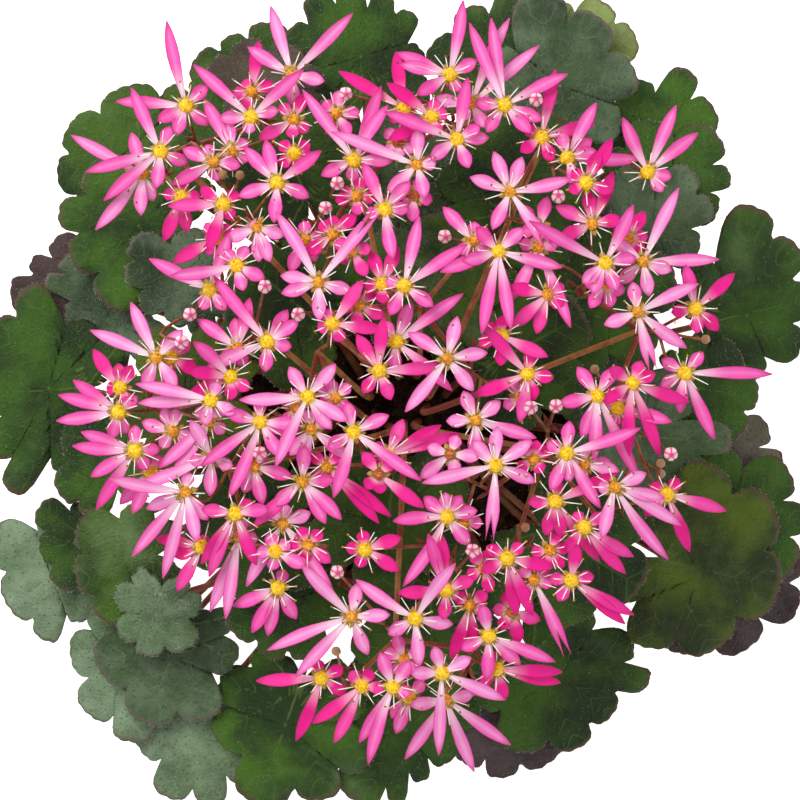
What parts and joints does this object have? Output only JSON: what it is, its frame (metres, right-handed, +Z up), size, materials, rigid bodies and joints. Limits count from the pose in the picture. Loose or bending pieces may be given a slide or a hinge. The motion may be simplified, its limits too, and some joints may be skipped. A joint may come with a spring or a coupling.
{
  "type": "potted saxifrage",
  "caption": "Flowering saxifrage in a plain round pot: a dome of narrow-petalled pink star flowers on thin branched stems over a rosette of scalloped leaves.",
  "frame": {"origin": "middle of the pot's underside", "axes": "+Z up along the pot's axis, +Y towards the top edge of the picture, +X towards its right edge"},
  "size_m": [0.233, 0.231, 0.1927],
  "materials": {
    "pot": "matt moulded plastic, terracotta coloured",
    "soil": "dark peat and bark potting soil, crumbled",
    "leaf_green": "dark green hairy leaf with pale veins and a brown rim",
    "leaf_grey": "grey-green hairy leaf with a silvery sheen and dark dots",
    "leaf_purple": "purple-brown hairy leaf",
    "flower": "rose-pink petals, magenta at edge and tip, near-white at the base, with yellow centres on red-brown stalks"
  },
  "bodies": {
    "root": {"pot": "pot", "soil": "soil", "leaf_01": "leaf_purple", "leaf_02": "leaf_grey", "leaf_03": "leaf_green", "leaf_04": "leaf_green", "leaf_05": "leaf_purple", "leaf_06": "leaf_purple", "leaf_07": "leaf_green", "leaf_08": "leaf_green", "leaf_09": "leaf_green", "leaf_10": "leaf_green", "leaf_11": "leaf_green", "leaf_12": "leaf_green", "leaf_13": "leaf_purple", "leaf_14": "leaf_grey", "leaf_15": "leaf_green", "leaf_16": "leaf_grey", "leaf_17": "leaf_green", "leaf_18": "leaf_green", "leaf_19": "leaf_green", "leaf_20": "leaf_green", "leaf_21": "leaf_green", "leaf_22": "leaf_green", "leaf_23": "leaf_grey", "leaf_24": "leaf_green", "leaf_25": "leaf_green", "leaf_26": "leaf_green", "leaf_27": "leaf_green", "leaf_28": "leaf_green", "leaf_29": "leaf_green", "leaf_30": "leaf_green", "leaf_31": "leaf_green", "leaf_32": "leaf_green", "leaf_33": "leaf_green", "leaf_34": "leaf_green", "leaf_35": "leaf_green", "leaf_36": "leaf_grey", "leaf_37": "leaf_green", "leaf_38": "leaf_green", "leaf_39": "leaf_green", "leaf_40": "leaf_green", "leaf_41": "leaf_green", "leaf_42": "leaf_green", "leaf_43": "leaf_green", "leaf_44": "leaf_green", "leaf_45": "leaf_green", "leaf_46": "leaf_green", "leaf_47": "leaf_green", "leaf_48": "leaf_green", "spray_01": "flower", "spray_02": "flower", "spray_03": "flower", "spray_04": "flower", "spray_05": "flower", "spray_06": "flower", "spray_07": "flower", "spray_08": "flower", "spray_09": "flower", "spray_10": "flower"}
  },
  "joints": []
}
